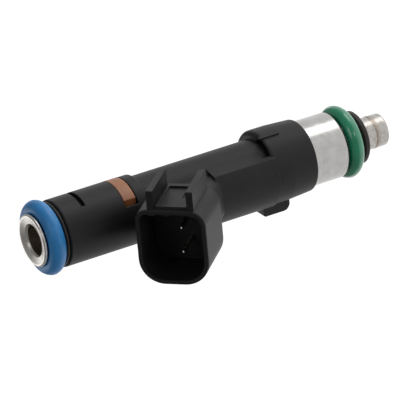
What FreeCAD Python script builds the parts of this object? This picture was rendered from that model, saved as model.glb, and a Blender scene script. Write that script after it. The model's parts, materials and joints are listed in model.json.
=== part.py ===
"""Fuel injector with two seal rings, a tilted two-pin connector and a working valve.

The injector's axis is Z and the fuel inlet is at the top. The origin is the centre of the
lower seal ring. The connector leaves the body towards -Y and rises towards the inlet. The
side that carries the lock faces +X. Sizes are millimetres and live in one spreadsheet.
"""

import FreeCAD
import Part
import Sketcher
import math
import os

V = FreeCAD.Vector
doc = FreeCAD.newDocument("FuelInjector")
sheet = doc.addObject("Spreadsheet::Sheet", "Sizes")
sub_parts = []


# ---------------------------------------------------------------- sizes that remember their formula

class Size:
    """A number together with the spreadsheet formula that gives it."""

    def __init__(self, value, text):
        self.value = value
        self.text = text

    def joined(self, sign, other, value):
        return Size(value, "(%s %s %s)" % (self.text, sign, other.text))

    def __add__(self, other):
        other = as_size(other)
        return self.joined("+", other, self.value + other.value)

    def __radd__(self, other):
        return as_size(other) + self

    def __sub__(self, other):
        other = as_size(other)
        return self.joined("-", other, self.value - other.value)

    def __rsub__(self, other):
        return as_size(other) - self

    def __mul__(self, other):
        other = as_size(other)
        return self.joined("*", other, self.value * other.value)

    def __rmul__(self, other):
        return as_size(other) * self

    def __truediv__(self, other):
        other = as_size(other)
        return self.joined("/", other, self.value / other.value)

    def __neg__(self):
        return as_size(0) - self


def as_size(thing):
    if isinstance(thing, Size):
        return thing
    return Size(float(thing), repr(float(thing)))


def sine(angle):
    return Size(math.sin(math.radians(angle.value)), "sin(%s * 1 deg)" % angle.text)


def cosine(angle):
    return Size(math.cos(math.radians(angle.value)), "cos(%s * 1 deg)" % angle.text)


def size(alias, value, note):
    """Write one driving size to the spreadsheet and hand back its formula."""
    size.row += 1
    sheet.set("A%d" % size.row, note)
    sheet.set("B%d" % size.row, repr(float(value)))
    sheet.setAlias("B%d" % size.row, alias)
    return Size(float(value), "Sizes." + alias)


size.row = 0

# clearances
seat_gap = size("seat_gap", 0.03, "radial gap between two pieces that are pressed or moulded together")
guide_gap = size("guide_gap", 0.03, "radial running gap of the valve ball in its guide")
slide_gap = size("slide_gap", 0.06, "radial running gap of the armature in the valve body")
lift = size("valve_lift", 0.10, "how far the valve opens")
pole_gap = size("pole_gap", 0.12, "gap between armature and pole with the valve shut")

# seal rings
low_cord = size("low_cord", 1.52, "cord radius of the lower seal ring")
top_cord = size("top_cord", 1.66, "cord radius of the upper seal ring")

# lower end
valve_bore = size("valve_bore", 2.55, "bore of the valve body")
valve_wall = size("valve_wall", 0.45, "wall of the valve body around the armature")
valve_outer = valve_bore + valve_wall
nozzle_wall = size("nozzle_wall", 0.69, "wall of the nozzle tip")
nozzle_radius = valve_bore + nozzle_wall
neck_step = size("neck_step", 0.91, "neck under the lower seal ring, out from the nozzle tip")
low_neck = nozzle_radius + neck_step
nozzle_length = size("nozzle_length", 6.8, "nozzle tip length below the neck")
neck_drop = size("neck_drop", 2.4, "neck's lower end below the seal ring's centre")
retainer_rim = size("retainer_rim", 1.15, "retaining ring's rim beyond the neck")
retainer_radius = low_neck + retainer_rim
retainer_step = size("retainer_step", 0.22, "step under the retaining ring, out from the nozzle tip")
retainer_width = size("retainer_width", 1.15, "retaining ring width along the axis")
sleeve_gap = size("sleeve_gap", 0.65, "groove between the seal ring and the steel housing")
sleeve_show = size("sleeve_show", 7.38, "length of steel housing that shows below the plastic")
housing_wall = size("housing_wall", 0.82, "steel housing wall")
coil_space = size("coil_space", 2.75, "room for the coil between valve body and housing")
sleeve_radius = valve_outer + coil_space + housing_wall
housing_floor = size("housing_floor", 1.73, "steel housing floor thickness")
housing_length = size("housing_length", 15.33, "steel housing length")
washer_thick = size("washer_thick", 0.9, "flux washer thickness")

# plastic body
barrel_wall = size("barrel_wall", 0.98, "plastic around the steel housing")
barrel_radius = sleeve_radius + barrel_wall
barrel_draft = size("barrel_draft", 0.35, "how much slimmer the barrel is at its lower lip")
barrel_lip = barrel_radius - barrel_draft
barrel_cover = size("barrel_cover", 2.0, "plastic above the steel housing")
saddle_step = size("saddle_step", 0.28, "saddle beyond the barrel's radius")
saddle_radius = barrel_radius + saddle_step
saddle_length = size("saddle_length", 12.6, "length of the saddle")
mid_length = size("mid_length", 26.4, "middle body length")
collar_width = size("collar_width", 1.9, "collar width")

# inlet end
inlet_wall = size("inlet_wall", 0.6, "inlet tube wall")
tube_shoulder = size("tube_shoulder", 0.2, "shoulder in the inlet tube that the valve body stops at")
filter_step = size("filter_step", 0.2, "wider bore at the top of the inlet tube for the filter")
tube_bore = valve_outer - tube_shoulder
inlet_bore = tube_bore + filter_step
tube_outer = inlet_bore + inlet_wall
neck_wall = size("neck_wall", 0.34, "neck under the upper seal ring, out from the tube")
top_neck = tube_outer + neck_wall
mid_wall = size("mid_wall", 2.4, "plastic around the tube in the middle body")
mid_radius = tube_outer + mid_wall
shell_wall = size("shell_wall", 3.0, "upper sleeve wall")
shell_radius = tube_outer + shell_wall
collar_radius = shell_radius - 0.02
shell_length = size("shell_length", 15.8, "upper sleeve length")
flange_rim = size("flange_rim", 1.20, "inlet flange beyond the neck")
flange_radius = top_neck + flange_rim
flange_thick = size("flange_thick", 0.67, "inlet flange thickness")
backup_rim = size("backup_rim", 2.36, "upper support ring beyond the neck")
backup_radius = top_neck + backup_rim
backup_thick = size("backup_thick", 0.72, "upper support ring thickness")
band_width = size("band_width", 2.5, "colour insert width along the axis")
band_depth = size("band_depth", 1.05, "colour insert thickness")
band_half = size("band_half", 4.8, "half the colour insert's width between its flat ends")
band_room = size("band_room", 0.75, "room past the colour insert's ends in its pocket")

# connector, in its own tilted frame: x across, y towards the inlet, z out of the mouth
tilt = size("tilt_angle", 45.0, "connector tilt from the injector's cross plane")
cross_height = size("cross_height", 20.33, "where the two axes meet, above the barrel's lip")
mouth_reach = size("mouth_reach", 27.93, "from the injector's axis to the connector's mouth")
shroud_length = size("shroud_length", 11.1, "connector shroud length")
shroud_side = size("shroud_side", 7.4, "shroud wall on the lock's side, from the connector's axis")
shroud_far = size("shroud_far", 7.75, "shroud wall away from the lock, from the connector's axis")
shroud_low = size("shroud_low", 6.9, "shroud wall on the nozzle side, from the connector's axis")
shroud_high = size("shroud_high", 6.66, "shroud wall on the inlet side, from the connector's axis")
shroud_wall = size("shroud_wall", 0.85, "shroud wall thickness")
socket_depth = size("socket_depth", 10.0, "socket depth")
rail_height = size("rail_height", 3.8, "guide rail height above the shroud")
rail_thick = size("rail_thick", 1.3, "guide rail thickness")
rail_offset = size("rail_offset", 3.82, "guide rail centre from the middle of the lock")
lock_shift = size("lock_shift", 0.33, "middle of the lock below the connector's axis")
pin_pitch = size("pin_pitch", 4.9, "distance between the two terminals")
pin_width = size("pin_width", 0.8, "terminal width")
pin_thick = size("pin_thick", 0.64, "terminal thickness")
pin_recess = size("pin_recess", 3.24, "terminal tip below the mouth")
pin_drop = size("pin_drop", 1.23, "terminals below the connector's axis")
pin_cover = size("pin_cover", 0.38, "plastic between the tube and the terminals' inner legs")
pin_radius = tube_outer + pin_cover + pin_thick / 2
far_round = size("far_round", 4.9, "shroud's corner radius away from the lock")
lock_round = size("lock_round", 2.3, "shroud's corner radius between lock and inlet")
nozzle_round = size("nozzle_round", 3.2, "shroud's corner radius between lock and nozzle")

# stations along the axis, from the lower seal ring's centre
neck_low = -neck_drop
nozzle_end = neck_low - nozzle_length
retainer_low = neck_low - retainer_width
retainer_seat = nozzle_radius + retainer_step
sleeve_low = low_cord + sleeve_gap
sleeve_floor = sleeve_low + housing_floor
sleeve_top = sleeve_low + housing_length
barrel_low = sleeve_low + sleeve_show
barrel_top = sleeve_top + barrel_cover
barrel_length = barrel_top - barrel_low
mid_top = barrel_top + mid_length
collar_top = mid_top + collar_width
shell_top = collar_top + shell_length
top_seal = shell_top + backup_thick + top_cord + 0.09
flange_low = top_seal + top_cord + 0.1
inlet_end = flange_low + flange_thick
tube_low = sleeve_top + 0.7
valve_top = tube_low + 0.8
coil_top = sleeve_top - washer_thick - 0.8
cross = barrel_low + cross_height


# ---------------------------------------------------------------- small building helpers

def bind(thing, prop, amount):
    """Bind one property of a document object to its formula."""
    amount = as_size(amount)
    thing.setExpression(prop, amount.text)


def at(thing, x=0, y=0, z=0):
    """Bind the position of an object."""
    for letter, amount in (("x", x), ("y", y), ("z", z)):
        bind(thing, "Placement.Base." + letter, amount)


def cylinder(name, radius, low, high, angle=None, x=0, y=0):
    piece = doc.addObject("Part::Cylinder", name)
    bind(piece, "Radius", radius)
    bind(piece, "Height", as_size(high) - low)
    if angle is not None:
        bind(piece, "Angle", angle)
    at(piece, x, y, low)
    return piece


def block(name, x0, x1, y0, y1, z0, z1):
    piece = doc.addObject("Part::Box", name)
    bind(piece, "Length", as_size(x1) - x0)
    bind(piece, "Width", as_size(y1) - y0)
    bind(piece, "Height", as_size(z1) - z0)
    at(piece, x0, y0, z0)
    return piece


def cut(name, base, tool):
    piece = doc.addObject("Part::Cut", name)
    piece.Base = base
    piece.Tool = tool
    return piece


def fuse(name, pieces):
    piece = doc.addObject("Part::MultiFuse", name)
    piece.Shapes = pieces
    piece.Refine = True
    return piece


def common(name, first, second):
    piece = doc.addObject("Part::MultiCommon", name)
    piece.Shapes = [first, second]
    return piece


def tube(name, outer, inner, low, high):
    return cut(name, cylinder(name + "Outside", outer, low, high),
               cylinder(name + "Inside", inner, as_size(low) - 1, as_size(high) + 1))


def sector(name, half_angle, low, high, middle=0):
    """A slice of a large cylinder, half_angle to each side of a direction in degrees from +X."""
    piece = cylinder(name, 2 * barrel_radius, low, high, angle=2 * half_angle)
    turn = half_angle - middle
    piece.Placement.Rotation = FreeCAD.Rotation(V(0, 0, -1), turn.value)
    bind(piece, "Placement.Rotation.Angle", turn)
    return piece


def tilted(name, piece):
    """Hold a piece in the connector's tilted frame, whose z runs out of the mouth."""
    holder = doc.addObject("Part::Compound", name)
    holder.Links = [piece]
    turn = FreeCAD.Rotation(V(1, 0, 0), 90 - tilt.value)
    holder.Placement = FreeCAD.Placement(V(0, 0, cross.value), turn)
    bind(holder, "Placement.Rotation.Angle", 90 - tilt)
    bind(holder, "Placement.Base.z", cross)
    return holder


def plane_of(body, role):
    for feature in body.Origin.OriginFeatures:
        if feature.Role == role:
            return feature
    raise ValueError("no plane " + role)


def outline(body, name, role, points):
    """A closed sketch whose corners are bound to formulas."""
    sketch = body.newObject("Sketcher::SketchObject", name)
    sketch.AttachmentSupport = [(plane_of(body, role), "")]
    sketch.MapMode = "FlatFace"
    points = [(as_size(a), as_size(b)) for a, b in points]
    count = len(points)
    for k in range(count):
        here = points[k]
        there = points[(k + 1) % count]
        start = V(here[0].value, here[1].value, 0)
        end = V(there[0].value, there[1].value, 0)
        sketch.addGeometry(Part.LineSegment(start, end), False)
    for k in range(count):
        sketch.addConstraint(Sketcher.Constraint("Coincident", k, 2, (k + 1) % count, 1))
    for k, (a, b) in enumerate(points):
        for word, amount in (("DistanceX", a), ("DistanceY", b)):
            number = sketch.addConstraint(Sketcher.Constraint(word, -1, 1, k, 1, amount.value))
            sketch.setExpression("Constraints[%d]" % number, amount.text)
    return sketch


def turned(name, points):
    """A body turned about Z from (radius, height) corners."""
    body = doc.addObject("PartDesign::Body", name)
    sketch = outline(body, name + "Profile", "XZ_Plane", points)
    turn = body.newObject("PartDesign::Revolution", name + "Turn")
    turn.Profile = sketch
    turn.ReferenceAxis = (sketch, ["V_Axis"])
    turn.Angle = 360
    doc.recompute()
    return body


def padded(name, role, points, depth):
    """A body padded from a flat outline."""
    body = doc.addObject("PartDesign::Body", name)
    sketch = outline(body, name + "Profile", role, points)
    pad = body.newObject("PartDesign::Pad", name + "Pad")
    pad.Profile = sketch
    bind(pad, "Length", depth)
    doc.recompute()
    return body


def rounded(body, name, radius, wanted):
    """Fillet the body's edges for which wanted(edge) holds."""
    last = body.Tip
    names = []
    for number, edge in enumerate(last.Shape.Edges, 1):
        if wanted(edge):
            names.append("Edge%d" % number)
    if not names:
        raise ValueError("no edge for " + name)
    fillet = body.newObject("PartDesign::Fillet", name)
    fillet.Base = (last, names)
    bind(fillet, "Radius", radius)
    body.Tip = fillet
    doc.recompute()
    return body


def ring_edge(radius, height):
    """Test for the full circle of this radius at this height."""
    def wanted(edge):
        if not isinstance(edge.Curve, Part.Circle):
            return False
        near = abs(edge.Curve.Radius - radius.value) < 0.005
        return near and abs(edge.Curve.Center.z - height.value) < 0.005
    return wanted


def finish(piece, label):
    """Mark one object as a sub-part of the injector."""
    piece.Label = label
    sub_parts.append(piece)
    return piece


# ---------------------------------------------------------------- inlet tube and filter

tube_step = shell_top - 1.6
filter_top = inlet_end - 5.1
filter_low = filter_top - 12.2
inlet = turned("InletTube", [
    (valve_outer + seat_gap, tube_low),
    (tube_outer, tube_low),
    (tube_outer, tube_step),
    (top_neck, tube_step),
    (top_neck, flange_low),
    (flange_radius, flange_low),
    (flange_radius, inlet_end),
    (flange_radius - 0.55, inlet_end),
    (inlet_bore + 0.27, inlet_end - 0.4),
    (inlet_bore, inlet_end - 0.85),
    (inlet_bore, filter_low - 1),
    (tube_bore, filter_low - 1.4),
    (tube_bore, valve_top),
    (valve_outer + seat_gap, valve_top),
])
rounded(inlet, "FlangeTopRound", as_size(0.3), ring_edge(flange_radius, inlet_end))
rounded(inlet, "FlangeLowRound", as_size(0.2), ring_edge(flange_radius, flange_low))
finish(inlet, "inlet_tube")

filter_ring = turned("FilterRing", [
    (inlet_bore - 0.5, filter_top - 1.2),
    (inlet_bore - seat_gap, filter_top - 1.2),
    (inlet_bore - seat_gap, filter_top - 0.2),
    (inlet_bore - 0.2, filter_top),
    (inlet_bore - 0.5, filter_top),
])
finish(filter_ring, "filter_ring")

mesh_radius = inlet_bore - 0.7
cage = [
    tube("CageRing", inlet_bore - 0.05, mesh_radius + seat_gap, filter_top - 2.2, filter_top - 1.2),
    cylinder("CageCap", inlet_bore - 0.4, filter_low, filter_low + 1),
]
for k in range(4):
    rib = block("CageRib%d" % k, mesh_radius + seat_gap, inlet_bore - 0.25, -0.3, 0.3,
                filter_low + 0.5, filter_top - 1.7)
    hub = doc.addObject("Part::Compound", "CageRibTurn%d" % k)
    hub.Links = [rib]
    hub.Placement = FreeCAD.Placement(V(0, 0, 0), FreeCAD.Rotation(V(0, 0, 1), 45 + 90 * k))
    cage.append(hub)
finish(fuse("FilterCage", cage), "filter_cage")
finish(tube("FilterMesh", mesh_radius, mesh_radius - 0.08, filter_low + 1, filter_top - 1.2), "filter_mesh")

# ---------------------------------------------------------------- upper seal, support ring and sleeve

top_ring = doc.addObject("Part::Torus", "UpperSealRing")
bind(top_ring, "Radius1", top_neck + seat_gap + top_cord)
bind(top_ring, "Radius2", top_cord)
at(top_ring, 0, 0, top_seal)
finish(top_ring, "upper_seal_ring")

backup = turned("UpperSupportRing", [
    (top_neck + seat_gap, shell_top),
    (backup_radius - 0.25, shell_top),
    (backup_radius, shell_top + 0.25),
    (backup_radius, shell_top + backup_thick - 0.2),
    (backup_radius - 0.3, shell_top + backup_thick),
    (top_neck + seat_gap, shell_top + backup_thick),
])
finish(backup, "upper_support_ring")

shell = turned("UpperSleeveTurned", [
    (tube_outer + seat_gap, collar_top),
    (shell_radius, collar_top),
    (shell_radius, shell_top),
    (top_neck + seat_gap, shell_top),
    (top_neck + seat_gap, tube_step),
    (tube_outer + seat_gap, tube_step),
])
rounded(shell, "SleeveTopRound", as_size(0.35), ring_edge(shell_radius, shell_top))
band_side = size("band_side", 0.12, "gap beside the colour insert in its pocket")
band_low = collar_top + 0.52
band_high = band_low + band_width
slot_half_angle = size("slot_half_angle", 33.0, "half the angle that the clip slot covers")
slot_low = shell_top - 5.3
slot_high = slot_low + size("slot_width", 0.95, "clip slot width along the axis")
slot_ring = tube("ClipSlotRing", shell_radius + 1, shell_radius - 0.9, slot_low, slot_high)
slot_sector = sector("ClipSlotSector", slot_half_angle, slot_low - 1, slot_high + 1)
clip_slot = common("ClipSlot", slot_ring, slot_sector)
pocket_ring = tube("BandPocketRing", shell_radius + 1, shell_radius - band_depth - seat_gap,
                   band_low - 2 * band_side, band_high + band_side)
pocket_slab = block("BandPocketSlab", 0, shell_radius + 2, -band_half - band_room, band_half + band_room,
                    band_low - 1, band_high + 1)
band_pocket = common("BandPocket", pocket_ring, pocket_slab)
sleeve_cut = cut("UpperSleeveSlotted", shell, clip_slot)
finish(cut("UpperSleeve", sleeve_cut, band_pocket), "upper_sleeve")

band_ring = tube("BandRing", shell_radius + 0.02, shell_radius - band_depth, band_low, band_high)
band_slab = block("BandSlab", 0, shell_radius + 2, -band_half, band_half, band_low - 1, band_high + 1)
finish(common("ColourInsert", band_ring, band_slab), "colour_insert")

# ---------------------------------------------------------------- plastic body with the connector

core = turned("BodyCore", [
    (0, barrel_low),
    (barrel_lip, barrel_low),
    (barrel_radius, barrel_low + 0.55 * barrel_length),
    (barrel_radius, barrel_top),
    (mid_radius, barrel_top),
    (mid_radius, mid_top - 0.3),
    (mid_radius + 0.3, mid_top),
    (collar_radius, mid_top),
    (collar_radius, collar_top),
    (0, collar_top),
])
rounded(core, "ShoulderRound", as_size(1.1), ring_edge(barrel_radius, barrel_top))
rounded(core, "LipRound", as_size(0.3), ring_edge(barrel_lip, barrel_low))
rounded(core, "CollarRound", as_size(0.25), ring_edge(collar_radius, mid_top))

# saddle: a thicker half shell that carries the connector, cut flat on the lock's side
saddle_top = barrel_top + saddle_length
saddle_prism = padded("SaddlePrism", "XY_Plane", [
    (mid_radius - 0.65, -1.6),
    (mid_radius - 2.1, -saddle_radius - 0.8),
    (-saddle_radius - 1, -saddle_radius - 0.8),
    (-saddle_radius - 1, -0.4),
    (0.4 - mid_radius, -0.4),
    (0.4 - mid_radius, -1.6),
], saddle_length + 1)
at(saddle_prism, 0, 0, barrel_top - 1)
saddle_round = cylinder("SaddleRound", saddle_radius, barrel_top - 1, saddle_top)
saddle = common("Saddle", saddle_prism, saddle_round)

# web between the saddle and the shroud
shroud_back = mouth_reach - shroud_length
web_lock = mid_radius - 1.9
web_far = mid_radius - 1.05
web_low = shroud_low - 2.4
web_high = shroud_high - 1.26
web = padded("WebPad", "XY_Plane", [
    (web_lock, -web_low), (web_lock, web_high), (-web_far, web_high), (-web_far, -web_low),
], shroud_back - 1.0)
web_round = size("web_round", 2.6, "rounding of the web's edges on the nozzle side")
rounded(web, "WebRound", web_round,
        lambda e: abs(e.tangentAt(e.FirstParameter).z) > 0.99 and e.BoundBox.YMax < 0)
at(web, 0, 0, 1.5)
web_held = tilted("Web", web)

# shroud with four rounded corners, the lock's side sharper than the far side
def shroud_block(name, side, far_side, low, high, depth, shrink):
    body = padded(name, "XY_Plane", [
        (-far_side, -low), (side, -low), (side, high), (-far_side, high),
    ], depth)
    rounded(body, name + "FarRound", far_round - shrink,
            lambda e: abs(e.tangentAt(e.FirstParameter).z) > 0.99 and e.CenterOfMass.x < 0)
    for corner, radius, facing in (("LockRound", lock_round, 1), ("NozzleRound", nozzle_round, -1)):
        rounded(body, name + corner, radius - shrink,
                lambda e: (isinstance(e.Curve, Part.Line) and abs(e.tangentAt(e.FirstParameter).z) > 0.99
                           and abs(e.CenterOfMass.x - side.value) < 0.01
                           and e.CenterOfMass.y * facing > 0))
    return body


shroud = shroud_block("ShroudBlock", shroud_side, shroud_far, shroud_low, shroud_high,
                      shroud_length, as_size(0))
rounded(shroud, "MouthRound", as_size(0.3),
        lambda e: e.BoundBox.ZMin > shroud_length.value - 0.01)
at(shroud, 0, 0, shroud_back)
socket = shroud_block("SocketBlock", shroud_side - shroud_wall, shroud_far - shroud_wall,
                      shroud_low - shroud_wall, shroud_high - shroud_wall,
                      socket_depth + 1, shroud_wall)
at(socket, 0, 0, mouth_reach - socket_depth)

# lock side: two guide rails and a raised catch plate with a shallow tray
rail_top = shroud_side + rail_height
rail_pieces = []
for name, middle in (("RailLow", -rail_offset - lock_shift), ("RailHigh", rail_offset - lock_shift)):
    rail_pieces.append(block(name, shroud_side - 1.2, rail_top, middle - rail_thick / 2,
                             middle + rail_thick / 2, shroud_back + 0.6, mouth_reach - 0.25))
catch_half = rail_offset - rail_thick / 2 - 0.12
catch_top = shroud_side + 0.65
catch = block("CatchPlate", shroud_side - 0.6, catch_top, -catch_half - lock_shift,
              catch_half - lock_shift, shroud_back + 0.4, mouth_reach - 0.45)
tray = block("CatchTray", catch_top - 0.35, catch_top + 1, 0.55 - catch_half - lock_shift,
             catch_half - lock_shift - 0.55, shroud_back + 1.5, mouth_reach - 1.3)
slit_middle = -lock_shift - 1.22
slit = block("CatchSlit", catch_top - 0.55, catch_top + 1, slit_middle - 0.2, slit_middle + 0.2,
             shroud_back + 1.6, mouth_reach - 5.2)
key_offset = size("key_offset", 0.9, "key rib above the connector's axis")
key_width = size("key_width", 1.0, "key rib width")
key_rib = block("KeyRib", shroud_side - shroud_wall - 0.8, shroud_side - 0.3,
                key_offset - key_width / 2, key_offset + key_width / 2,
                mouth_reach - socket_depth, mouth_reach - 1.2)
inside_cut = cut("ShroudOpen", shroud, socket)
connector_parts = [inside_cut, rail_pieces[0], rail_pieces[1], catch, key_rib]
tray_tools = fuse("TrayTools", [tray, slit])
connector_solid = cut("ConnectorTray", fuse("ConnectorFused", connector_parts), tray_tools)
connector = tilted("Connector", connector_solid)

# lug on the side away from the lock, and a thin rib beside the pocket in the shoulder
lug_reach = size("lug_reach", 1.55, "lug beyond the barrel")
lug_half = size("lug_half", 2.7, "half the lug's width")
lug_length = size("lug_length", 5.85, "lug length along the axis")
lug_high = barrel_top + 0.35
lug = block("LugBlock", -barrel_radius - lug_reach, -mid_radius, -lug_half, lug_half,
            lug_high - lug_length, lug_high)
lug_round = doc.addObject("Part::Fillet", "Lug")
lug_round.Base = lug
doc.recompute()
lug_edges = []
for number, edge in enumerate(lug.Shape.Edges, 1):
    if abs(edge.CenterOfMass.x - lug.Shape.BoundBox.XMin) < 0.01:
        if abs(edge.CenterOfMass.z - lug.Shape.BoundBox.ZMin) < 0.01:
            lug_edges.append((number, 1.4, 1.4))
        if abs(edge.CenterOfMass.z - lug.Shape.BoundBox.ZMax) < 0.01:
            lug_edges.append((number, 0.4, 0.4))
lug_round.Edges = lug_edges
rib = block("ShoulderRib", mid_radius, barrel_radius + 0.3, -0.3, 0.3,
            barrel_top - 4.4, barrel_top)
rib_low = doc.addObject("Part::Compound", "ShoulderRibTurn")
rib_low.Links = [rib]
rib_low.Placement = FreeCAD.Placement(V(0, 0, 0), FreeCAD.Rotation(V(0, 0, 1), -19))

moulding = fuse("MouldingSolid", [core, saddle, web_held, connector, lug_round, rib_low])

# hollows inside the moulding
tube_hole = cylinder("TubeHole", tube_outer + seat_gap, sleeve_top - 1, collar_top + 1)
housing_hole = cylinder("HousingHole", sleeve_radius + seat_gap, barrel_low - 1, sleeve_top)
pocket_tube = tube("ShoulderPocketRing", barrel_radius - 0.25, mid_radius + 0.05,
                   barrel_top - 2.7, barrel_top + 1)
pocket_turn = sector("ShoulderPocketSector", as_size(18.5), barrel_top - 3, barrel_top + 2, -31.5)
shoulder_pocket = common("ShoulderPocket", pocket_tube, pocket_turn)
gate = doc.addObject("Part::Ellipsoid", "GateMark")
bind(gate, "Radius1", as_size(1.3))
bind(gate, "Radius2", as_size(0.3))
bind(gate, "Radius3", as_size(1.9))
at(gate, barrel_radius + 0.18, -0.2, barrel_top - 7.0)


def terminal_shape(name, side, grow):
    """One terminal: a straight pin in the socket and a leg down to the coil."""
    middle = side * (pin_pitch / 2)
    half = pin_width / 2 + grow
    thick = pin_thick / 2 + grow
    back = (pin_radius - pin_drop * sine(tilt)) / cosine(tilt)
    tip = mouth_reach - pin_recess
    pin = block(name + "Pin", middle - half, middle + half, -pin_drop - thick, thick - pin_drop,
                back - 0.3, tip + 4 * grow)
    pin_held = tilted(name + "PinHeld", pin)
    knee = cross + back * sine(tilt) - pin_drop * cosine(tilt)
    leg = block(name + "Leg", middle - half, middle + half, -pin_radius - thick, thick - pin_radius,
                coil_top - 2 * grow, knee + 0.1)
    return fuse(name, [pin_held, leg])


# the terminals' passages are the terminals made a little larger
passages = [terminal_shape("PassageLeft", -1, seat_gap), terminal_shape("PassageRight", 1, seat_gap)]
carrier_low = barrel_top + 0.5
carrier_high = carrier_low + size("carrier_length", 6.0, "terminal carrier length along the axis")
carrier_half = (pin_pitch + pin_width) / 2 + 0.65
carrier_front = pin_radius + 1.0
carrier_back = tube_outer - 1.2
carrier_hole = block("CarrierHole", -carrier_half - seat_gap, carrier_half + seat_gap,
                     -carrier_front - seat_gap, -carrier_back,
                     carrier_low - seat_gap, carrier_high + seat_gap)
hollows = fuse("Hollows", [tube_hole, housing_hole, carrier_hole] + passages)
body_open = cut("MouldingOpen", moulding, hollows)
body_pocket = cut("MouldingPocket", body_open, shoulder_pocket)
finish(cut("BodyMoulding", body_pocket, gate), "body_moulding")

# ---------------------------------------------------------------- terminals and their carrier

for word, side in (("left", -1), ("right", 1)):
    rough = terminal_shape("Terminal" + word.capitalize(), side, as_size(0))
    finish(rough, "terminal_" + word)

carrier_block = block("CarrierBlock", -carrier_half, carrier_half, -carrier_front, -carrier_back,
                      carrier_low, carrier_high)
carrier_bore = cylinder("CarrierBore", tube_outer + seat_gap, carrier_low - 1, carrier_high + 1)
slot_half = pin_width / 2 + seat_gap
slot_deep = pin_thick / 2 + seat_gap
carrier_slots = []
for word, side in (("Left", -1), ("Right", 1)):
    middle = side * (pin_pitch / 2)
    carrier_slots.append(block("CarrierSlot" + word, middle - slot_half, middle + slot_half,
                               -pin_radius - slot_deep, slot_deep - pin_radius,
                               carrier_low - 1, carrier_high + 1))
carrier_tools = fuse("CarrierTools", [carrier_bore] + carrier_slots)
finish(cut("TerminalCarrier", carrier_block, carrier_tools), "terminal_carrier")

# ---------------------------------------------------------------- magnet: housing, washer, bobbin, winding

housing = turned("MagnetHousing", [
    (low_neck + seat_gap, sleeve_low),
    (sleeve_radius, sleeve_low),
    (sleeve_radius, sleeve_top),
    (sleeve_radius - housing_wall, sleeve_top),
    (sleeve_radius - housing_wall, sleeve_floor),
    (low_neck + seat_gap, sleeve_floor),
])
rounded(housing, "HousingRound", as_size(0.3), ring_edge(sleeve_radius, sleeve_low))
finish(housing, "magnet_housing")

washer = tube("FluxWasherRing", sleeve_radius - housing_wall - seat_gap, valve_outer + seat_gap,
              sleeve_top - washer_thick, sleeve_top)
washer_slot_half = (pin_pitch + pin_width) / 2 + 0.25
washer_slot = block("FluxWasherSlot", -washer_slot_half, washer_slot_half, -sleeve_radius,
                    0.6 - pin_radius, sleeve_top - washer_thick - 1, sleeve_top + 1)
finish(cut("FluxWasher", washer, washer_slot), "flux_washer")

coil_low = sleeve_floor + 0.1
flange_reach = sleeve_radius - housing_wall - 0.15
bobbin_wall = size("bobbin_wall", 0.45, "coil bobbin wall")
bobbin_inner = valve_outer + 0.05
bobbin_outer = bobbin_inner + bobbin_wall
bobbin = turned("CoilBobbin", [
    (bobbin_inner, coil_low),
    (flange_reach, coil_low),
    (flange_reach, coil_low + 0.6),
    (bobbin_outer, coil_low + 0.6),
    (bobbin_outer, coil_top - 0.8),
    (flange_reach, coil_top - 0.8),
    (flange_reach, coil_top),
    (bobbin_inner, coil_top),
])
finish(bobbin, "coil_bobbin")
finish(tube("CoilWinding", flange_reach - 0.25, bobbin_outer + 0.02, coil_low + 0.6, coil_top - 0.8),
       "coil_winding")

# ---------------------------------------------------------------- valve body, pole and adjusting sleeve

valve_body = turned("ValveBody", [
    (valve_bore, nozzle_end),
    (nozzle_radius, nozzle_end),
    (nozzle_radius, retainer_low - 0.05),
    (retainer_seat, retainer_low - 0.05),
    (retainer_seat, neck_low),
    (low_neck, neck_low),
    (low_neck, sleeve_floor),
    (valve_outer, sleeve_floor),
    (valve_outer, valve_top),
    (valve_bore, valve_top),
])
rounded(valve_body, "NozzleRound", as_size(0.3), ring_edge(nozzle_radius, nozzle_end))
finish(valve_body, "valve_body")

spring_wire = size("spring_wire", 0.17, "closing spring wire radius")
spring_radius = size("spring_radius", 1.0, "closing spring mean radius")
spring_turns = size("spring_turns", 8.0, "closing spring turns")
spring_side = size("spring_side", 0.18, "gap around the closing spring")
tube_way = size("tube_way", 0.7, "fuel way through the adjusting sleeve and the armature")
pole_height = size("pole_height", 6.1, "inner pole's face above the steel housing's floor")
pole_low = sleeve_floor + pole_height
spring_top = pole_low + size("spring_in_pole", 4.5, "length of the closing spring inside the pole")
spring_pocket = spring_radius + spring_wire + spring_side
finish(tube("InnerPole", valve_bore - seat_gap, spring_pocket, pole_low, valve_top - 0.4), "inner_pole")
finish(tube("AdjustingSleeve", spring_pocket - seat_gap, tube_way, spring_top, valve_top - 0.8),
       "adjusting_sleeve")

# ---------------------------------------------------------------- moving valve: armature, tube and ball

ball_radius = size("ball_radius", 1.6, "valve ball radius")
needle_radius = size("needle_radius", 1.03, "valve tube radius")
needle_wall = size("needle_wall", 0.4, "valve tube wall")
seat_low = nozzle_end + 1.0
ball_height = seat_low + 2.7
arm_top = pole_low - pole_gap
arm_low = arm_top - size("armature_length", 6.4, "armature length")
spring_seat = arm_top - size("spring_in_armature", 2.6, "depth of the spring's seat in the armature")

armature = turned("Armature", [
    (needle_radius + seat_gap, arm_low),
    (valve_bore - slide_gap - 0.2, arm_low),
    (valve_bore - slide_gap, arm_low + 0.2),
    (valve_bore - slide_gap, arm_top - 0.2),
    (valve_bore - slide_gap - 0.2, arm_top),
    (spring_pocket, arm_top),
    (spring_pocket, spring_seat),
    (tube_way, spring_seat),
    (tube_way, arm_low + 3),
    (needle_radius + seat_gap, arm_low + 3),
])
finish(armature, "armature")

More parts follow.
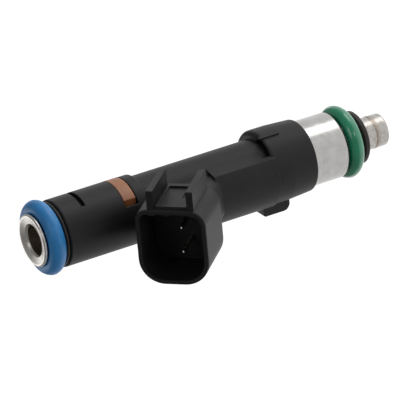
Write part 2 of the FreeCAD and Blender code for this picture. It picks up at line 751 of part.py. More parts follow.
needle_tube = tube("ValveTubeRaw", needle_radius, needle_radius - needle_wall, ball_height + 0.7, arm_low + 3)
ball_room = doc.addObject("Part::Sphere", "BallRoom")
bind(ball_room, "Radius", ball_radius + 0.01)
at(ball_room, 0, 0, ball_height)
port = doc.addObject("Part::Cylinder", "ValveTubePort")
bind(port, "Radius", as_size(0.32))
bind(port, "Height", 4 * needle_radius)
port.Placement = FreeCAD.Placement(V(0, 0, 0), FreeCAD.Rotation(V(0, 1, 0), 90))
at(port, -2 * needle_radius, 0, ball_height + 3.2)
finish(cut("ValveTube", needle_tube, fuse("ValveTubeTools", [ball_room, port])), "valve_tube")

ball = doc.addObject("Part::Sphere", "ValveBall")
bind(ball, "Radius", ball_radius)
at(ball, 0, 0, ball_height)
finish(ball, "valve_ball")

# ---------------------------------------------------------------- valve seat and spray plate

guide = ball_radius + guide_gap
cone_point = ball_height - ball_radius * 1.41421356 - 0.015
seat_hole = as_size(0.5)
seat = turned("ValveSeat", [
    (guide, ball_height + 0.9),
    (valve_bore - seat_gap, ball_height + 0.9),
    (valve_bore - seat_gap, seat_low),
    (seat_hole, seat_low),
    (seat_hole, cone_point + seat_hole),
    (guide, cone_point + guide),
])
finish(seat, "valve_seat")

plate = doc.addObject("PartDesign::Body", "SprayPlateBody")
plate_sketch = plate.newObject("Sketcher::SketchObject", "SprayPlateOutline")
plate_sketch.AttachmentSupport = [(plane_of(plate, "XY_Plane"), "")]
plate_sketch.MapMode = "FlatFace"
plate_sketch.addGeometry(Part.Circle(V(0, 0, 0), V(0, 0, 1), valve_bore.value - 0.05), False)
plate_sketch.addConstraint(Sketcher.Constraint("Coincident", 0, 3, -1, 1))
plate_size = plate_sketch.addConstraint(Sketcher.Constraint("Radius", 0, valve_bore.value - 0.05))
plate_sketch.setExpression("Constraints[%d]" % plate_size, (valve_bore - 0.05).text)
plate_pad = plate.newObject("PartDesign::Pad", "SprayPlatePad")
plate_pad.Profile = plate_sketch
bind(plate_pad, "Length", as_size(0.3))
doc.recompute()
hole_sketch = plate.newObject("Sketcher::SketchObject", "SprayHoleCentre")
hole_sketch.AttachmentSupport = [(plane_of(plate, "XY_Plane"), "")]
hole_sketch.MapMode = "FlatFace"
hole_sketch.addGeometry(Part.Circle(V(0.3, 0, 0), V(0, 0, 1), 0.09), False)
hole_sketch.addConstraint(Sketcher.Constraint("Radius", 0, 0.09))
hole_sketch.addConstraint(Sketcher.Constraint("DistanceX", -1, 1, 0, 3, 0.3))
hole_sketch.addConstraint(Sketcher.Constraint("DistanceY", -1, 1, 0, 3, 0.0))
spray_hole = plate.newObject("PartDesign::Pocket", "SprayHole")
spray_hole.Profile = hole_sketch
spray_hole.Type = "ThroughAll"
spray_hole.Midplane = True
doc.recompute()
holes = plate.newObject("PartDesign::PolarPattern", "SprayHoles")
holes.Originals = [spray_hole]
holes.Axis = (hole_sketch, ["N_Axis"])
holes.Angle = 360
holes.Occurrences = 6
plate.Tip = holes
at(plate, 0, 0, seat_low - 0.3)
finish(plate, "spray_plate")

# ---------------------------------------------------------------- closing spring

doc.recompute()
wire = sheet.get("spring_wire")
mean = sheet.get("spring_radius")
turns = sheet.get("spring_turns")
low = spring_seat.value + wire + 0.01
high = spring_top.value - wire - 0.01
helix = Part.makeHelix((high - low) / turns, high - low, mean)
section = Part.Wire([Part.makeCircle(wire, V(mean, 0, 0), V(0, 1, 0))])
coil = Part.Wire(helix.Edges).makePipeShell([section], True, True)
spring = doc.addObject("Part::Feature", "ClosingSpring")
spring.Shape = coil
spring.Placement = FreeCAD.Placement(V(0, 0, low), FreeCAD.Rotation())
finish(spring, "closing_spring")

# ---------------------------------------------------------------- lower seal ring and its retainer

low_ring = doc.addObject("Part::Torus", "LowerSealRing")
bind(low_ring, "Radius1", low_neck + seat_gap + low_cord)
bind(low_ring, "Radius2", low_cord)
finish(low_ring, "lower_seal_ring")

retainer = turned("LowerRetainer", [
    (retainer_seat + seat_gap, retainer_low),
    (retainer_radius - 0.25, retainer_low),
    (retainer_radius, retainer_low + 0.25),
    (retainer_radius, neck_low - 0.2),
    (retainer_radius - 0.2, neck_low),
    (retainer_seat + seat_gap, neck_low),
])
finish(retainer, "lower_retainer")

# ---------------------------------------------------------------- check and write

doc.recompute()
for thing in doc.Objects:
    if "Invalid" in thing.State or "Error" in thing.State:
        raise RuntimeError("bad state: %s %s" % (thing.Name, thing.State))
os.makedirs("parts", exist_ok=True)
for piece in sub_parts:
    shape = piece.Shape
    if shape.isNull() or not shape.isValid():
        raise RuntimeError("bad shape: " + piece.Label)
    if len(shape.Solids) != 1:
        raise RuntimeError("%s has %d solids" % (piece.Label, len(shape.Solids)))
    shape.exportStep(os.path.join("parts", piece.Label + ".step"))
    box = shape.BoundBox
    print("%-20s volume %9.2f  x %.2f..%.2f y %.2f..%.2f z %.2f..%.2f" % (
        piece.Label, shape.Volume, box.XMin, box.XMax, box.YMin, box.YMax, box.ZMin, box.ZMax))
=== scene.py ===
# %% [markdown]
# # Finishing a fuel injector
# A fuel injector is a small electric valve. Fuel comes in at the blue seal ring, passes a filter, a spring
# and a magnet coil, and leaves through the nozzle below the green seal ring. The CAD model already has every
# piece at its true size, and this lesson gives the pieces their looks. It could also be done by modelling
# everything again, but a piece whose CAD shape is right only needs softer edges and a good material.

# %% Load the frame
import json
import math

import bpy
from mathutils import Matrix, Vector

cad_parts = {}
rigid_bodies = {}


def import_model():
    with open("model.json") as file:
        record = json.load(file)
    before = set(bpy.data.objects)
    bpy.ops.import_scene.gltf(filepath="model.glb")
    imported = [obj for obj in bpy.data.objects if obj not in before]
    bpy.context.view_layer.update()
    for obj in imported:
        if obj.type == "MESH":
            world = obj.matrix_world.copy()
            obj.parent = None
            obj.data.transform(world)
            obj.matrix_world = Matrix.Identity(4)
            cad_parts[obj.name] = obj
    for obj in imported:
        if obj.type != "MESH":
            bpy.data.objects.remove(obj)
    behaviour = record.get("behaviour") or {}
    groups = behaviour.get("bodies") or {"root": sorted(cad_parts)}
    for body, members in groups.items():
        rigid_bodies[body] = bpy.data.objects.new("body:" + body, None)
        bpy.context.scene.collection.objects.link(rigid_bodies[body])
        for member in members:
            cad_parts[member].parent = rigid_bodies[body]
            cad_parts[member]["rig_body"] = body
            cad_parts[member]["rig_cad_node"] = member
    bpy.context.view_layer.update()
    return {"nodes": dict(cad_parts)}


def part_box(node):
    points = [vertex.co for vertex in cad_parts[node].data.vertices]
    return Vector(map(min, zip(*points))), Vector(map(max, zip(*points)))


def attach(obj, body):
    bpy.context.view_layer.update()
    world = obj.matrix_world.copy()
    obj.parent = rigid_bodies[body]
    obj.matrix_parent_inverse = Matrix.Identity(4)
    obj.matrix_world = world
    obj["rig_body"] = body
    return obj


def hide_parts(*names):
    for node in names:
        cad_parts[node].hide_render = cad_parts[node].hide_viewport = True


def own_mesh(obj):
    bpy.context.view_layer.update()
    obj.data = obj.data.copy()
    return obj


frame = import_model()
MM = 0.001
MERGE_DISTANCE = 0.002 * MM
FULL_TURN = 2 * math.pi
print("pieces in the CAD model:", len(frame["nodes"]))

# %% [markdown]
# ## Small helpers for modelling
# Blender's operators act on whatever is selected, and importing the frame leaves its pieces selected. So
# every step starts by letting go of everything, and then takes hold of one piece. Points are found by where
# they are, because their numbers change whenever a shape changes.

# %% Take hold of one piece
def let_go():
    """Leave edit mode and deselect everything."""
    if bpy.context.object and bpy.context.object.mode != "OBJECT":
        bpy.ops.object.mode_set(mode="OBJECT")
    bpy.ops.object.select_all(action="DESELECT")


def hold(piece):
    """Make one piece the only one selected."""
    let_go()
    piece.select_set(True)
    bpy.context.view_layer.objects.active = piece


def place_in_mesh(piece):
    """Move a piece's place, turn and scale into its mesh, so that its object sits at the origin."""
    hold(piece)
    bpy.ops.object.transform_apply(location=True, rotation=True, scale=True)


def pick_points(piece, wanted):
    """Go to edit mode with only the points selected for which wanted(place) holds."""
    hold(piece)
    bpy.ops.object.mode_set(mode="EDIT")
    bpy.ops.mesh.select_mode(type="VERT")
    bpy.ops.mesh.select_all(action="DESELECT")
    bpy.ops.object.mode_set(mode="OBJECT")
    for point in piece.data.vertices:
        point.select = wanted(point.co)
    bpy.ops.object.mode_set(mode="EDIT")


def smooth(piece, angle=35):
    """Shade a piece smooth, but keep edges sharper than this angle crisp."""
    hold(piece)
    bpy.ops.object.shade_smooth_by_angle(angle=math.radians(angle))


def apply_modifier(piece, kind, **settings):
    """Add one modifier, set it up and apply it."""
    hold(piece)
    modifier = piece.modifiers.new(kind.title(), kind)
    for name, value in settings.items():
        setattr(modifier, name, value)
    bpy.ops.object.modifier_apply(modifier=modifier.name)


# %% [markdown]
# ## Turning on a lathe
# Many pieces of an injector are turned or moulded round. A lathe works on an outline, so the helper below
# draws half of the section as a chain of points and spins it about the axis. A stack of cylinders would
# give the same outline, but its seams would show, and its edges would have no rounding.

# %% Spin an outline about the injector's axis
def lathe(name, outline, steps=96):
    """A closed ring from (radius, height) corners, spun about the Z axis."""
    let_go()
    bpy.ops.mesh.primitive_plane_add(size=MM, location=(outline[0][0], 0, outline[0][1]))
    piece = bpy.context.object
    piece.name = name
    place_in_mesh(piece)
    bpy.ops.object.mode_set(mode="EDIT")
    bpy.ops.mesh.select_all(action="SELECT")
    bpy.ops.mesh.merge(type="CENTER")
    corners = list(outline) + [outline[0]]
    for here, there in zip(corners, corners[1:]):
        step = (there[0] - here[0], 0, there[1] - here[1])
        bpy.ops.mesh.extrude_vertices_move(TRANSFORM_OT_translate={"value": step})
    close_spin(piece, steps)
    return piece


def close_spin(piece, steps):
    """Spin all that is in edit mode once round, and close the seam."""
    bpy.ops.mesh.select_all(action="SELECT")
    bpy.ops.mesh.spin(steps=steps, angle=FULL_TURN, center=(0, 0, 0), axis=(0, 0, 1))
    bpy.ops.mesh.select_all(action="SELECT")
    bpy.ops.mesh.remove_doubles(threshold=MERGE_DISTANCE)
    bpy.ops.mesh.normals_make_consistent(inside=False)
    bpy.ops.object.mode_set(mode="OBJECT")


# %% [markdown]
# ## Copies of CAD pieces
# A CAD mesh is loose triangles: each face has its own corners. A piece whose shape has to change is copied
# first. The copy's corners are merged, and its flat faces are joined into one, which leaves only the real
# edges for a bevel to round. A piece whose shape is right isn't merged, because its smooth shading comes
# from the exact CAD surface, and merging would lose it.

# %% Copy, merge and fit
def plain_copy(node, name):
    """A copy of a CAD node with its own mesh, which can stand for the node."""
    hold(frame["nodes"][node])
    bpy.ops.object.duplicate()
    piece = bpy.context.object
    piece.name = name
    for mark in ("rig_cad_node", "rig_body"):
        if mark in piece:
            del piece[mark]
    return piece


FLAT_ANGLE = math.radians(0.3)


def merged_copy(node, name):
    """A copy whose corners are merged and whose flat faces are whole."""
    piece = plain_copy(node, name)
    bpy.ops.object.mode_set(mode="EDIT")
    bpy.ops.mesh.select_all(action="SELECT")
    bpy.ops.mesh.remove_doubles(threshold=MERGE_DISTANCE)
    bpy.ops.mesh.dissolve_limited(angle_limit=FLAT_ANGLE)
    bpy.ops.object.mode_set(mode="OBJECT")
    return piece


def fit(piece, body, slot, finish, *nodes):
    """Put a finished piece on its body, with its finish as its only material, in place of its CAD nodes; slot
    is not used.
    """
    piece.data.materials.clear()
    piece.data.materials.append(finish)
    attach(piece, body)
    if nodes:
        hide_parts(*nodes)
    print(piece.name, "has", len(piece.data.polygons), "faces")


# %% [markdown]
# ## Shader sums written as Python
# Procedural materials are small sums over noise. Dragging wires between Math nodes hides the sum, so the
# class below wraps a socket and lets Python's own signs add the nodes: `1 - mask * 0.3` makes two of them.

# %% Wrap a socket
class Wire:
    """A number that changes over a surface. Python's signs add Math nodes to its material."""

    def __init__(self, finish, socket):
        self.finish = finish
        self.socket = socket

    def sum(self, operation, first, second):
        return self.finish.add("ShaderNodeMath", {"operation": operation}, {0: first, 1: second})

    def __add__(self, other):
        return self.sum("ADD", self, other)

    def __sub__(self, other):
        return self.sum("SUBTRACT", self, other)

    def __rsub__(self, other):
        return self.sum("SUBTRACT", other, self)

    def __mul__(self, other):
        return self.sum("MULTIPLY", self, other)

    __radd__ = __add__
    __rmul__ = __mul__


class Finish:
    """One material, built node by node."""

    def __init__(self, name):
        self.material = bpy.data.materials.new(name)
        self.material.use_nodes = True
        self.tree = self.material.node_tree
        self.shader = self.tree.nodes["Principled BSDF"]
        self.place = self.add("ShaderNodeTexCoord", out="Object")

    def add(self, kind, settings=None, inputs=None, out=0):
        """Add one node: first its settings, then the values or wires of its sockets."""
        node = self.tree.nodes.new(kind)
        for name, value in (settings or {}).items():
            setattr(node, name, value)
        for name, value in (inputs or {}).items():
            self.put(node.inputs[name], value)
        return Wire(self, node.outputs[out])

    def put(self, socket, value):
        if isinstance(value, Wire):
            self.tree.links.new(value.socket, socket)
        else:
            socket.default_value = value

    def stretched(self, scale):
        """Object coordinates, scaled by a different amount along each axis."""
        return self.add("ShaderNodeMapping", None, {"Vector": self.place, "Scale": scale})

    def noise(self, grain, detail=2.0, stretch=(1, 1, 1), rough=0.5):
        """Noise from 0 to 1 whose lumps are about one grain across, in metres."""
        scale = tuple(s / grain for s in stretch)
        return self.add("ShaderNodeTexNoise", None, {
            "Vector": self.stretched(scale), "Scale": 1.0, "Detail": detail, "Roughness": rough})

    def band(self, value, low, high):
        """0 below low, 1 above high, and a straight ramp between."""
        return self.add("ShaderNodeMapRange", {"clamp": True}, {
            "Value": value, "From Min": low, "From Max": high, "To Min": 0.0, "To Max": 1.0})

    def blend(self, mask, first, second):
        """A mix of two colours."""
        a = (*first, 1.0) if isinstance(first, tuple) else first
        b = (*second, 1.0) if isinstance(second, tuple) else second
        return self.add("ShaderNodeMix", {"data_type": "RGBA"}, {0: mask, 6: a, 7: b}, out=2)

    def height(self):
        """Height along the injector's axis, in metres."""
        return self.add("ShaderNodeSeparateXYZ", None, {0: self.place}, out="Z")

    def bump(self, relief, depth, edge=0.0):
        """A normal from a relief of this depth, over edges that look rounded by edge."""
        inputs = {"Height": relief, "Strength": 1.0, "Distance": depth}
        if edge:
            inputs["Normal"] = self.add("ShaderNodeBevel", {"samples": 6}, {"Radius": edge})
        return self.add("ShaderNodeBump", None, inputs)

    def surface(self, **sockets):
        """Fill the shader's sockets, whose names are written with _ for a space."""
        for name, value in sockets.items():
            if isinstance(value, tuple):
                value = (*value, 1.0)
            self.put(self.shader.inputs[name.replace("_", " ")], value)
        print("finish", self.material.name, "has", len(self.tree.nodes), "nodes")
        return self.material


# %% [markdown]
# ## Moulded plastic
# The body is nylon filled with short glass fibres. Where the melt ran, fibres lie at the skin and make it a
# little lighter and rougher in long cloudy streaks, and the steel mould leaves a fine spark-eroded grain.
# An even black would look like paint, so three sizes of noise are layered: clouds, streaks and grain.

# %% Glass-filled nylon
def filled_nylon(name, dark, light, gloss, edge):
    finish = Finish(name)
    clouds = finish.noise(7 * MM, detail=3)
    streaks = finish.noise(1.1 * MM, detail=3, stretch=(1, 1, 0.22))
    grain = finish.noise(0.16 * MM, detail=2)
    fibres = finish.band(finish.noise(0.12 * MM, detail=1, stretch=(1, 1, 0.3)), 0.66, 0.78)
    tone = clouds * 0.5 + streaks * 0.35 + fibres * 0.5
    colour = finish.blend(finish.band(tone, 0.25, 1.1), dark, light)
    rough = gloss + clouds * 0.10 + streaks * 0.06 - fibres * 0.08
    relief = grain * 0.8 + streaks * 0.5
    return finish.surface(Base_Color=colour, Roughness=rough, Specular_IOR_Level=0.22,
                          Normal=finish.bump(relief, 0.02 * MM, edge))


black_nylon = filled_nylon("black_nylon", (0.004, 0.004, 0.0045), (0.023, 0.022, 0.022), 0.42, 0.16 * MM)
dark_nylon = filled_nylon("dark_nylon", (0.020, 0.017, 0.015), (0.050, 0.043, 0.038), 0.42, 0.10 * MM)


# %% [markdown]
# ## Coloured plastic
# The insert in the upper sleeve shows the flow rate by its colour, and the coil's bobbin and the filter's
# cage are plain natural plastics. They are unfilled or lightly filled, so they are smoother than the body.

# %% Unfilled plastics
def plain_plastic(name, dark, light, gloss):
    finish = Finish(name)
    clouds = finish.noise(2.6 * MM, detail=3)
    specks = finish.noise(0.22 * MM, detail=2)
    colour = finish.blend(finish.band(clouds * 0.7 + specks * 0.5, 0.3, 0.9), dark, light)
    rough = gloss + specks * 0.14
    return finish.surface(Base_Color=colour, Roughness=rough,
                          Normal=finish.bump(specks + clouds * 0.4, 0.03 * MM, 0.12 * MM))


brown_plastic = plain_plastic("copper_brown_plastic", (0.20, 0.062, 0.018), (0.32, 0.120, 0.044), 0.38)
amber_plastic = plain_plastic("amber_plastic", (0.40, 0.25, 0.09), (0.62, 0.44, 0.20), 0.35)


# %% [markdown]
# ## Seal rings
# Seal rings are pressed in a two-part mould. The blue one is a fluorosilicone with a soft satin skin, and
# the green one is a fluoroelastomer, greased before it is fitted, which is why it shines.
# Both need the light to roll around the cord, so the bump is far smaller than on the plastic.

# %% Rubber
def rubber(name, deep, pale, gloss, coat):
    finish = Finish(name)
    clouds = finish.noise(3.5 * MM, detail=2)
    skin = finish.noise(0.30 * MM, detail=3)
    dust = finish.band(finish.noise(0.5 * MM, detail=4, rough=0.7), 0.62, 0.74)
    colour = finish.blend(finish.band(clouds + dust * 0.25, 0.25, 0.95), deep, pale)
    rough = gloss + skin * 0.10 + dust * 0.12
    return finish.surface(Base_Color=colour, Roughness=rough, Coat_Weight=coat, Coat_Roughness=0.08,
                          Normal=finish.bump(skin, 0.012 * MM))


blue_rubber = rubber("blue_rubber", (0.009, 0.135, 0.350), (0.017, 0.195, 0.470), 0.42, 0.0)
green_rubber = rubber("green_rubber", (0.006, 0.160, 0.078), (0.013, 0.240, 0.130), 0.22, 0.45)


# %% [markdown]
# ## Turned steel
# A lathe tool leaves rings so fine that only the highlight shows them: it spreads along the axis.
# The rings are noise squeezed along Z, and wide soft clouds of handling marks change the roughness.
# Anisotropic shading would also spread the highlight, but it needs tangents, and a baked export can't
# carry them.

# %% Steel with turning rings
def turned_steel(name, dark, light, gloss, ring=0.05 * MM, depth=0.004 * MM):
    finish = Finish(name)
    rings = finish.noise(ring, detail=2, stretch=(0.004, 0.004, 1))
    marks = finish.noise(1.8 * MM, detail=5, rough=0.62)
    scuffs = finish.band(finish.noise(0.5 * MM, detail=3, stretch=(1, 1, 0.15)), 0.58, 0.72)
    colour = finish.blend(finish.band(marks * 0.7 + rings * 0.3, 0.3, 0.75), dark, light)
    rough = gloss + marks * 0.10 + rings * 0.06 + scuffs * 0.08
    return finish.surface(Base_Color=colour, Metallic=1.0, Roughness=rough,
                          Normal=finish.bump(rings + scuffs * 0.3, depth, 0.08 * MM))


stainless = turned_steel("stainless_steel", (0.42, 0.40, 0.37), (0.64, 0.62, 0.59), 0.22)
magnet_steel = turned_steel("magnet_steel", (0.33, 0.325, 0.315), (0.47, 0.46, 0.45), 0.15)
ball_steel = turned_steel("ball_steel", (0.70, 0.70, 0.70), (0.82, 0.82, 0.82), 0.05, depth=0.001 * MM)
wire_steel = turned_steel("spring_wire", (0.34, 0.34, 0.35), (0.48, 0.48, 0.50), 0.28)
brass = turned_steel("brass", (0.55, 0.38, 0.14), (0.76, 0.57, 0.27), 0.24)
tin = turned_steel("tin_plate", (0.66, 0.64, 0.58), (0.86, 0.84, 0.78), 0.16)
enamelled_copper = turned_steel("enamelled_copper", (0.42, 0.15, 0.06), (0.62, 0.26, 0.12), 0.24)

# %% [markdown]
# ## Heat-tinted nozzle
# The nozzle is one long tube, welded to the valve seat inside it by a laser that turns around it. The weld
# leaves a narrow straw-brown band. The tint depends only on height, so a pair of ramps
# along Z draws it, and noise breaks up its borders.

# %% Steel with a weld's heat tint
nozzle_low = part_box("valve_body")[0]
retainer_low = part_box("lower_retainer")[0]
WELD_SHARE = 0.45
weld_height = nozzle_low.z + WELD_SHARE * (retainer_low.z - nozzle_low.z)
TINT_WIDTH = 0.75 * MM
TINT_WANDER = 0.9 * MM
print("weld at height", round(weld_height / MM, 2), "mm")


def welded_steel(name):
    finish = Finish(name)
    rings = finish.noise(0.06 * MM, detail=2, stretch=(0.004, 0.004, 1))
    marks = finish.noise(0.7 * MM, detail=5, rough=0.65)
    wander = (marks - 0.5) * TINT_WANDER + finish.height()
    below = finish.band(wander, weld_height - TINT_WIDTH, weld_height)
    above = 1 - finish.band(wander, weld_height, weld_height + TINT_WIDTH)
    tint = below * above
    steel = finish.blend(finish.band(marks * 0.7 + rings * 0.3, 0.3, 0.75),
                         (0.26, 0.25, 0.23), (0.54, 0.52, 0.49))
    colour = finish.blend(tint * 0.6, steel, (0.24, 0.17, 0.12))
    rough = 0.16 + marks * 0.12 + rings * 0.06 + tint * 0.12
    return finish.surface(Base_Color=colour, Metallic=1.0, Roughness=rough,
                          Normal=finish.bump(rings + marks * 0.6, 0.008 * MM, 0.08 * MM))


nozzle_steel = welded_steel("nozzle_steel")

# %% [markdown]
# ## The seal rings
# A seal ring is a round cord bent into a circle. Spinning a circle gives it, and a ready-made torus would
# too, but the mould's halves leave a thin raised line where they meet, at the widest and narrowest places.
# So the few outermost and innermost points of the circle are pulled out a little before it is spun.

# %% Spin the two seal rings
SEAM = 0.03 * MM
SEAM_SHARE = 0.01
CORD_POINTS = 48
RING_STEPS = 144


def seal_ring(node, name, slot, finish):
    low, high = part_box(node)
    cord = (high.z - low.z) / 2
    middle = high.x - cord
    height = (high.z + low.z) / 2
    let_go()
    bpy.ops.mesh.primitive_circle_add(vertices=CORD_POINTS, radius=cord, location=(middle, 0, height),
                                      rotation=(math.pi / 2, 0, 0))
    ring = bpy.context.object
    ring.name = name
    place_in_mesh(ring)
    for side in (1, -1):
        pick_points(ring, lambda place: abs(place.x - middle - side * cord) < SEAM_SHARE * cord)
        bpy.ops.transform.translate(value=(side * SEAM, 0, 0))
    close_spin(ring, RING_STEPS)
    smooth(ring)
    fit(ring, "injector", slot, finish, node)


seal_ring("upper_seal_ring", "blue_seal", "blue_rubber", blue_rubber)
seal_ring("lower_seal_ring", "green_seal", "green_rubber", green_rubber)

# %% [markdown]
# ## Pieces that keep their CAD shape
# The covers, the pipe and all the inner pieces already have their true shape, and the CAD surface shades
# smoothly. They could be copied and bevelled, but long thin faces would then shade in streaks. So each
# keeps its mesh and only takes a finish, and the finish itself rounds the look of the edges.

# %% Give CAD pieces their finishes
finishes = {
    "body_moulding": black_nylon,
    "upper_sleeve": black_nylon,
    "colour_insert": brown_plastic,
    "upper_support_ring": dark_nylon,
    "lower_retainer": dark_nylon,
    "inlet_tube": stainless,
    "magnet_housing": magnet_steel,
    "valve_body": nozzle_steel,
    "filter_ring": brass,
    "filter_cage": amber_plastic,
    "terminal_carrier": black_nylon,
    "flux_washer": magnet_steel,
    "coil_bobbin": amber_plastic,
    "inner_pole": magnet_steel,
    "adjusting_sleeve": stainless,
    "armature": magnet_steel,
    "valve_tube": stainless,
    "valve_ball": ball_steel,
    "valve_seat": stainless,
    "spray_plate": stainless,
}
for node, finish in finishes.items():
    for slot in frame["nodes"][node].material_slots:
        slot.material = finish
print("pieces finished:", len(finishes))

# %% [markdown]
# ## Closing spring
# The spring stands in the armature and pushes against the adjusting sleeve above it. When the valve opens,
# its lower end rises with the armature and its upper end stays. Here the spring is only copied from its CAD
# piece, with its own mesh and the spring wire finish, and it is not made shorter.

# %% Copy the spring
spring = plain_copy("closing_spring", "coil_spring")
fit(spring, "injector", "spring_steel", wire_steel, "closing_spring")
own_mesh(spring)

# %% [markdown]
# ## Weld bead
# The laser melts a narrow bead around the nozzle, a few hundredths of a millimetre proud. Its section is
# one flat dome, so it is spun from half an ellipse whose two ends are sunk into the nozzle.

# %% Spin the weld bead
BEAD_HALF = 0.28 * MM
BEAD_RISE = 0.045 * MM
BEAD_ROOT = 0.02 * MM
BEAD_STEPS = 8


def radii(node, low, high):
    """How far a CAD piece's points between two heights are from the injector's axis."""
    piece = frame["nodes"][node]
    places = [piece.matrix_world @ point.co for point in piece.data.vertices]
    return [math.hypot(place.x, place.y) for place in places if low <= place.z <= high]


nozzle_radius = max(radii("valve_body", nozzle_low.z, weld_height))
bead_outline = [(nozzle_radius - BEAD_ROOT, weld_height - BEAD_HALF)]
for k in range(BEAD_STEPS + 1):
    angle = math.pi * k / BEAD_STEPS
    bead_outline.append((nozzle_radius + BEAD_RISE * math.sin(angle),
                         weld_height - BEAD_HALF * math.cos(angle)))
bead_outline.append((nozzle_radius - BEAD_ROOT, weld_height + BEAD_HALF))
bead = lathe("weld_bead", bead_outline)
smooth(bead, 60)
fit(bead, "injector", "stainless", nozzle_steel)

# %% [markdown]
# ## Terminals
# A terminal is stamped from tinned strip, and its tip is coined to a blunt point so that the plug finds it.
# A plane across the pin marks where the taper starts, and the pin's end is then scaled down about its own
# middle, which tapers all four sides at once.

# %% Coin the terminals' tips
CONNECTOR_TILT = math.radians(45)
out_of_mouth = Vector((0, -math.sin(CONNECTOR_TILT), math.cos(CONNECTOR_TILT)))
TAPER_LENGTH = 1.0 * MM
TIP_SHARE = 0.52
TIP_SLACK = 0.02 * MM
COINED_EDGE = 0.07 * MM


def coined_terminal(node, name):
    pin = merged_copy(node, name)
    reach = max(point.co.dot(out_of_mouth) for point in pin.data.vertices)
    start = out_of_mouth * (reach - TAPER_LENGTH)
    hold(pin)
    bpy.ops.object.mode_set(mode="EDIT")
    bpy.ops.mesh.select_all(action="SELECT")
    bpy.ops.mesh.bisect(plane_co=start, plane_no=out_of_mouth)
    pick_points(pin, lambda place: place.dot(out_of_mouth) > reach - TIP_SLACK)
    bpy.ops.object.mode_set(mode="OBJECT")
    tip = [point.co for point in pin.data.vertices if point.select]
    middle = sum(tip, Vector()) / len(tip)
    bpy.ops.object.mode_set(mode="EDIT")
    bpy.ops.transform.resize(value=(TIP_SHARE,) * 3, center_override=middle)
    bpy.ops.object.mode_set(mode="OBJECT")
    apply_modifier(pin, "BEVEL", width=COINED_EDGE, segments=3, limit_method="ANGLE",
                   angle_limit=math.radians(25), use_clamp_overlap=True)
    smooth(pin)
    fit(pin, "injector", "tin", tin, node)


coined_terminal("terminal_left", "left_pin")
coined_terminal("terminal_right", "right_pin")

# %% [markdown]
# ## Coil winding
# About forty turns of enamelled wire lie side by side in each layer. Only the outer layer could be seen, so
# one scalloped outline stands for it: each turn is a half round, and spinning the outline makes them all.

# %% Spin the winding
wind_low, wind_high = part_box("coil_winding")
TURN_COUNT = 40
TURN_STEPS = 4
turn_pitch = (wind_high.z - wind_low.z) / TURN_COUNT
wire_radius = turn_pitch / 2
wind_inner = min(radii("coil_winding", wind_low.z, wind_high.z))
winding_outline = [(wind_inner, wind_low.z)]
for turn in range(TURN_COUNT):
    middle = wind_low.z + (turn + 0.5) * turn_pitch
    for k in range(TURN_STEPS + 1):
        angle = math.pi * (k / TURN_STEPS - 0.5)
        winding_outline.append((wind_high.x - wire_radius + wire_radius * math.cos(angle),
                                middle + wire_radius * math.sin(angle)))
winding_outline.append((wind_inner, wind_high.z))
winding = lathe("wire_turns", winding_outline, steps=64)
smooth(winding, 60)
fit(winding, "injector", "copper", enamelled_copper, "coil_winding")

# %% [markdown]
# ## Filter cloth
# The filter's cloth is woven steel wire. A grid of faces around a cylinder turned into struts by the
# Wireframe tool gives real holes. An image of a weave would be cheaper, but it would have no thickness.

# %% Weave the filter
mesh_low, mesh_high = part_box("filter_mesh")
STRANDS = 56
ROWS = 60
STRAND = 0.07 * MM
STRAND_ROOM = 0.04 * MM
let_go()
bpy.ops.mesh.primitive_cylinder_add(vertices=STRANDS, radius=mesh_high.x - STRAND_ROOM,
                                    depth=mesh_high.z - mesh_low.z - 2 * STRAND_ROOM,
                                    end_fill_type="NOTHING",
                                    location=(0, 0, (mesh_high.z + mesh_low.z) / 2))
cloth = bpy.context.object
cloth.name = "filter_cloth"
place_in_mesh(cloth)
bpy.ops.object.mode_set(mode="EDIT")
for row in range(1, ROWS):
    height = mesh_low.z + (mesh_high.z - mesh_low.z) * row / ROWS
    bpy.ops.mesh.select_all(action="SELECT")
    bpy.ops.mesh.bisect(plane_co=(0, 0, height), plane_no=(0, 0, 1))
bpy.ops.object.mode_set(mode="OBJECT")
apply_modifier(cloth, "WIREFRAME", thickness=STRAND, use_replace=True, use_even_offset=True)
smooth(cloth)
fit(cloth, "injector", "mesh", wire_steel, "filter_mesh")

# %% [markdown]
# ## Camera
# A long lens from a little under a metre away keeps the injector's sides nearly parallel, as a catalogue
# does. The camera is turned about its own view so that the injector lies across the frame, inlet at
# the left and nozzle at the right.

# %% Place the camera
AZIMUTH = math.radians(27.34)
ELEVATION = math.radians(25.71)
ROLL = math.radians(-107.9)
DISTANCE = 0.83457
LENS_LENGTH = 401.7
looked_at = Vector((4.35, -13.54, 39.38)) * MM
back = Vector((math.sin(AZIMUTH) * math.cos(ELEVATION), -math.cos(AZIMUTH) * math.cos(ELEVATION),
               math.sin(ELEVATION)))
across = Vector((math.cos(AZIMUTH), math.sin(AZIMUTH), 0))
level = Matrix((across, back.cross(across), back)).transposed()
camera_data = bpy.data.cameras.new("studio_camera")
camera_data.lens = LENS_LENGTH
camera_data.sensor_width = 36
camera_data.clip_start = 0.01
camera = bpy.data.objects.new("studio_camera", camera_data)
bpy.context.scene.collection.objects.link(camera)
camera_turn = level.to_4x4() @ Matrix.Rotation(ROLL, 4, "Z")
camera.matrix_world = Matrix.Translation(looked_at + back * DISTANCE) @ camera_turn
bpy.context.scene.camera = camera
view_right, view_up, view_back = (camera_turn.col[k].to_3d() for k in range(3))
print("camera at", tuple(round(c, 3) for c in camera.matrix_world.translation))

# %% [markdown]
# ## Floor and light
# The floor is a plain pale sheet, well below the injector, which is held up by its manifold seal. Large
# soft lights wrap around the dark plastic: above, in front, beside the nozzle and beyond the inlet. One small
# box near the camera draws the narrow bright line along the steel, and more of them would give hard spots.

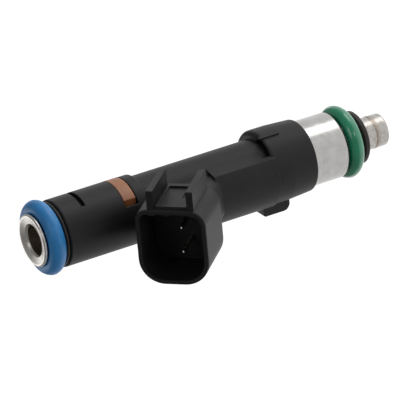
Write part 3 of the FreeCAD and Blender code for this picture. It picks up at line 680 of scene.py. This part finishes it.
# %% Lay the floor
FLOOR_DROP = 0.30
FLOOR_SIZE = 8.0
let_go()
bpy.ops.mesh.primitive_plane_add(size=FLOOR_SIZE, location=(0, 0, -FLOOR_DROP))
floor = bpy.context.object
floor.name = "studio_floor"
paper = Finish("studio_paper")
tooth = paper.noise(4 * MM, detail=2)
floor.data.materials.append(paper.surface(
    Base_Color=paper.blend(tooth, (0.93, 0.93, 0.93), (0.96, 0.96, 0.96)), Roughness=0.9,
    Emission_Color=(1.0, 1.0, 1.0), Emission_Strength=0.78))


# %% Hang the lights
LIT_HEIGHT = 30 * MM


def softbox(name, right, up, near, distance, size, power):
    """A square light, placed by how far right, up and near it is in the camera's view."""
    place = (view_right * right + view_up * up + view_back * near).normalized() * distance
    lamp = bpy.data.lights.new(name, "AREA")
    lamp.shape = "SQUARE"
    lamp.size = size
    lamp.energy = power
    box = bpy.data.objects.new(name, lamp)
    bpy.context.scene.collection.objects.link(box)
    centre = Vector((0, 0, LIT_HEIGHT))
    box.matrix_world = Matrix.Translation(centre + place) @ place.to_track_quat("Z", "Y").to_matrix().to_4x4()


softbox("top_light", 0.15, 1.0, 0.25, 0.55, 0.30, 0.9)
softbox("nozzle_light", 1.0, 0.35, 0.35, 0.60, 0.25, 0.06)
softbox("front_light", -0.7, 0.1, 1.0, 0.70, 0.30, 0.6)
softbox("inlet_light", -0.74, -0.24, -0.62, 0.60, 0.30, 0.45)
softbox("camera_light", 0.30, 0.30, 1.0, 0.60, 0.08, 0.16)

world = bpy.data.worlds.new("studio_air")
world.use_nodes = True
sky = world.node_tree.nodes["Background"]
sky.inputs["Color"].default_value = (1.0, 1.0, 1.0, 1.0)
sky.inputs["Strength"].default_value = 0.28
bpy.context.scene.world = world
bpy.context.scene.view_settings.view_transform = "Standard"

# %% [markdown]
# ## The last step
# The last line only prints that the script has finished.

# %% Finish
print("finished")
